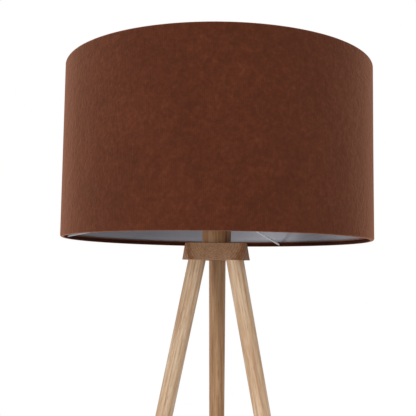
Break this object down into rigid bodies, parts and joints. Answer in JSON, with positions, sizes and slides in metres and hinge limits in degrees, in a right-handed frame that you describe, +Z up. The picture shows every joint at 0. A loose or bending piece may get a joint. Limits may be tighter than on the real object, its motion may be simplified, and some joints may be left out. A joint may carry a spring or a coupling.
{
  "type": "tripod floor lamp",
  "caption": "Floor lamp with a splayed wooden tripod, a tapered triangular wooden hub, a short stem and a straight fabric drum shade over a screw-shell lampholder.",
  "frame": {"origin": "on the floor, on the lamp's upright axis, midway between the three feet", "axes": "+Z up along the stem and the lampholder; -Y is the front, +Y points to the rear leg"},
  "size_m": [0.541, 0.5362, 1.53],
  "materials": {
    "leg_wood": "natural light oak tone, matt oil finish",
    "hub_wood": "natural light oak tone with end grain, matt oil finish",
    "stem_wood": "natural light oak tone, matt oil finish",
    "shade_cloth": "rust-brown short-pile velvet with a fine upright rib",
    "shade_lining": "pale silver-grey satin film",
    "white_wire": "white powder coat",
    "zinc_steel": "bright zinc plate",
    "plain_brass": "bare, lightly dulled",
    "holder_plastic": "white moulded, satin",
    "carrier_ceramic": "unglazed white",
    "shell_metal": "bare, pressed",
    "glide_nylon": "natural nylon, matt",
    "bush_plastic": "black moulded"
  },
  "bodies": {
    "stand": {"hub_block": "hub_wood", "hub_inserts": "plain_brass", "hub_washer": "zinc_steel", "hub_nut": "zinc_steel", "threaded_tube": "zinc_steel", "cable_bush": "bush_plastic", "stem": "stem_wood", "stem_washer": "zinc_steel", "lampholder_cap": "holder_plastic", "lampholder_lock_screw": "zinc_steel", "lampholder_mantle": "holder_plastic", "contact_carrier": "carrier_ceramic", "screw_shell": "shell_metal", "centre_contact": "plain_brass", "contact_rivets": "plain_brass", "terminal_plates": "plain_brass", "terminal_screws": "zinc_steel"},
    "shade": {"shade_fitter_ring": "white_wire", "shade_spider_arms": "white_wire", "shade_bottom_wire": "white_wire", "shade_top_wire": "white_wire", "shade_liner": "shade_lining", "shade_fabric": "shade_cloth"},
    "shade_ring": {"shade_ring": "holder_plastic"},
    "leg_left": {"leg_left": "leg_wood", "leg_left_bolt": "zinc_steel", "leg_left_glide": "glide_nylon", "leg_left_glide_nail": "zinc_steel"},
    "leg_right": {"leg_right": "leg_wood", "leg_right_bolt": "zinc_steel", "leg_right_glide": "glide_nylon", "leg_right_glide_nail": "zinc_steel"},
    "leg_rear": {"leg_rear": "leg_wood", "leg_rear_bolt": "zinc_steel", "leg_rear_glide": "glide_nylon", "leg_rear_glide_nail": "zinc_steel"}
  },
  "joints": [
    {"name": "shade_turn", "type": "hinge", "parent": "stand", "child": "shade", "pos_m": [0, 0, 1.3242], "axis": [0, 0, 1], "continuous": true},
    {"name": "shade_ring_screw", "type": "hinge", "parent": "stand", "child": "shade_ring", "pos_m": [0, 0, 1.3314], "axis": [0, 0, 1], "range_deg": [0, 1440]},
    {"name": "leg_left_screw", "type": "hinge", "parent": "stand", "child": "leg_left", "pos_m": [-0.02737, -0.0158, 1.251], "axis": [-0.1845, -0.1065, -0.977], "range_deg": [0, 3024]},
    {"name": "leg_right_screw", "type": "hinge", "parent": "stand", "child": "leg_right", "pos_m": [0.02737, -0.0158, 1.251], "axis": [0.1845, -0.1065, -0.977], "range_deg": [0, 3024]},
    {"name": "leg_rear_screw", "type": "hinge", "parent": "stand", "child": "leg_rear", "pos_m": [0, 0.0316, 1.251], "axis": [0, 0.213, -0.977], "range_deg": [0, 3024]}
  ]
}
